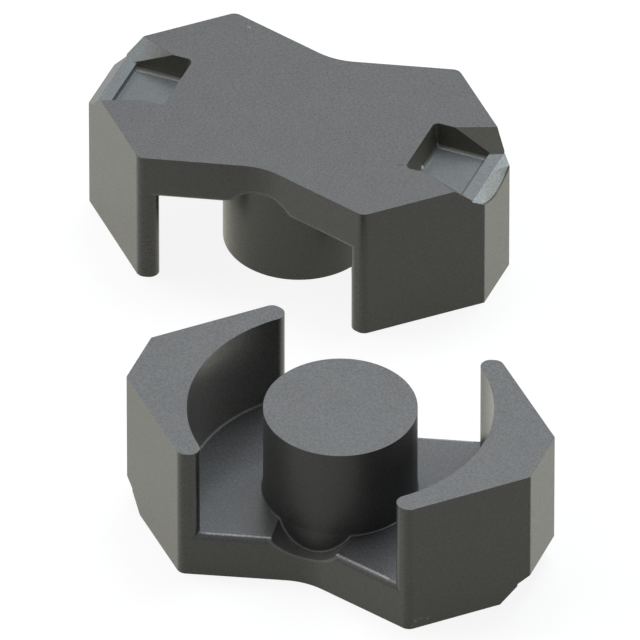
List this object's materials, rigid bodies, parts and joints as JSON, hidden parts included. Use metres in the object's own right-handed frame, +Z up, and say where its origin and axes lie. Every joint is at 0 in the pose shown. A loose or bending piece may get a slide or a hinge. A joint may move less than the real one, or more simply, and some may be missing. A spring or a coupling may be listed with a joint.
{
  "type": "rectangular module ferrite core",
  "caption": "Ferrite core of the rectangular module form in matching halves, with a round centre post, open winding space, waisted base and clamp recesses, for inductors and transformers.",
  "frame": {"origin": "centre of the front half's back face, on the floor under its centre post", "axes": "+X along the front half between its end faces, +Y across it towards the rear half, +Z up along the post axes"},
  "size_m": [0.0617, 0.0649, 0.0147],
  "materials": {
    "ferrite": "matte sintered, dark grey, fine grain"
  },
  "bodies": {
    "root": {"front_half": "ferrite", "rear_half": "ferrite"}
  },
  "joints": []
}
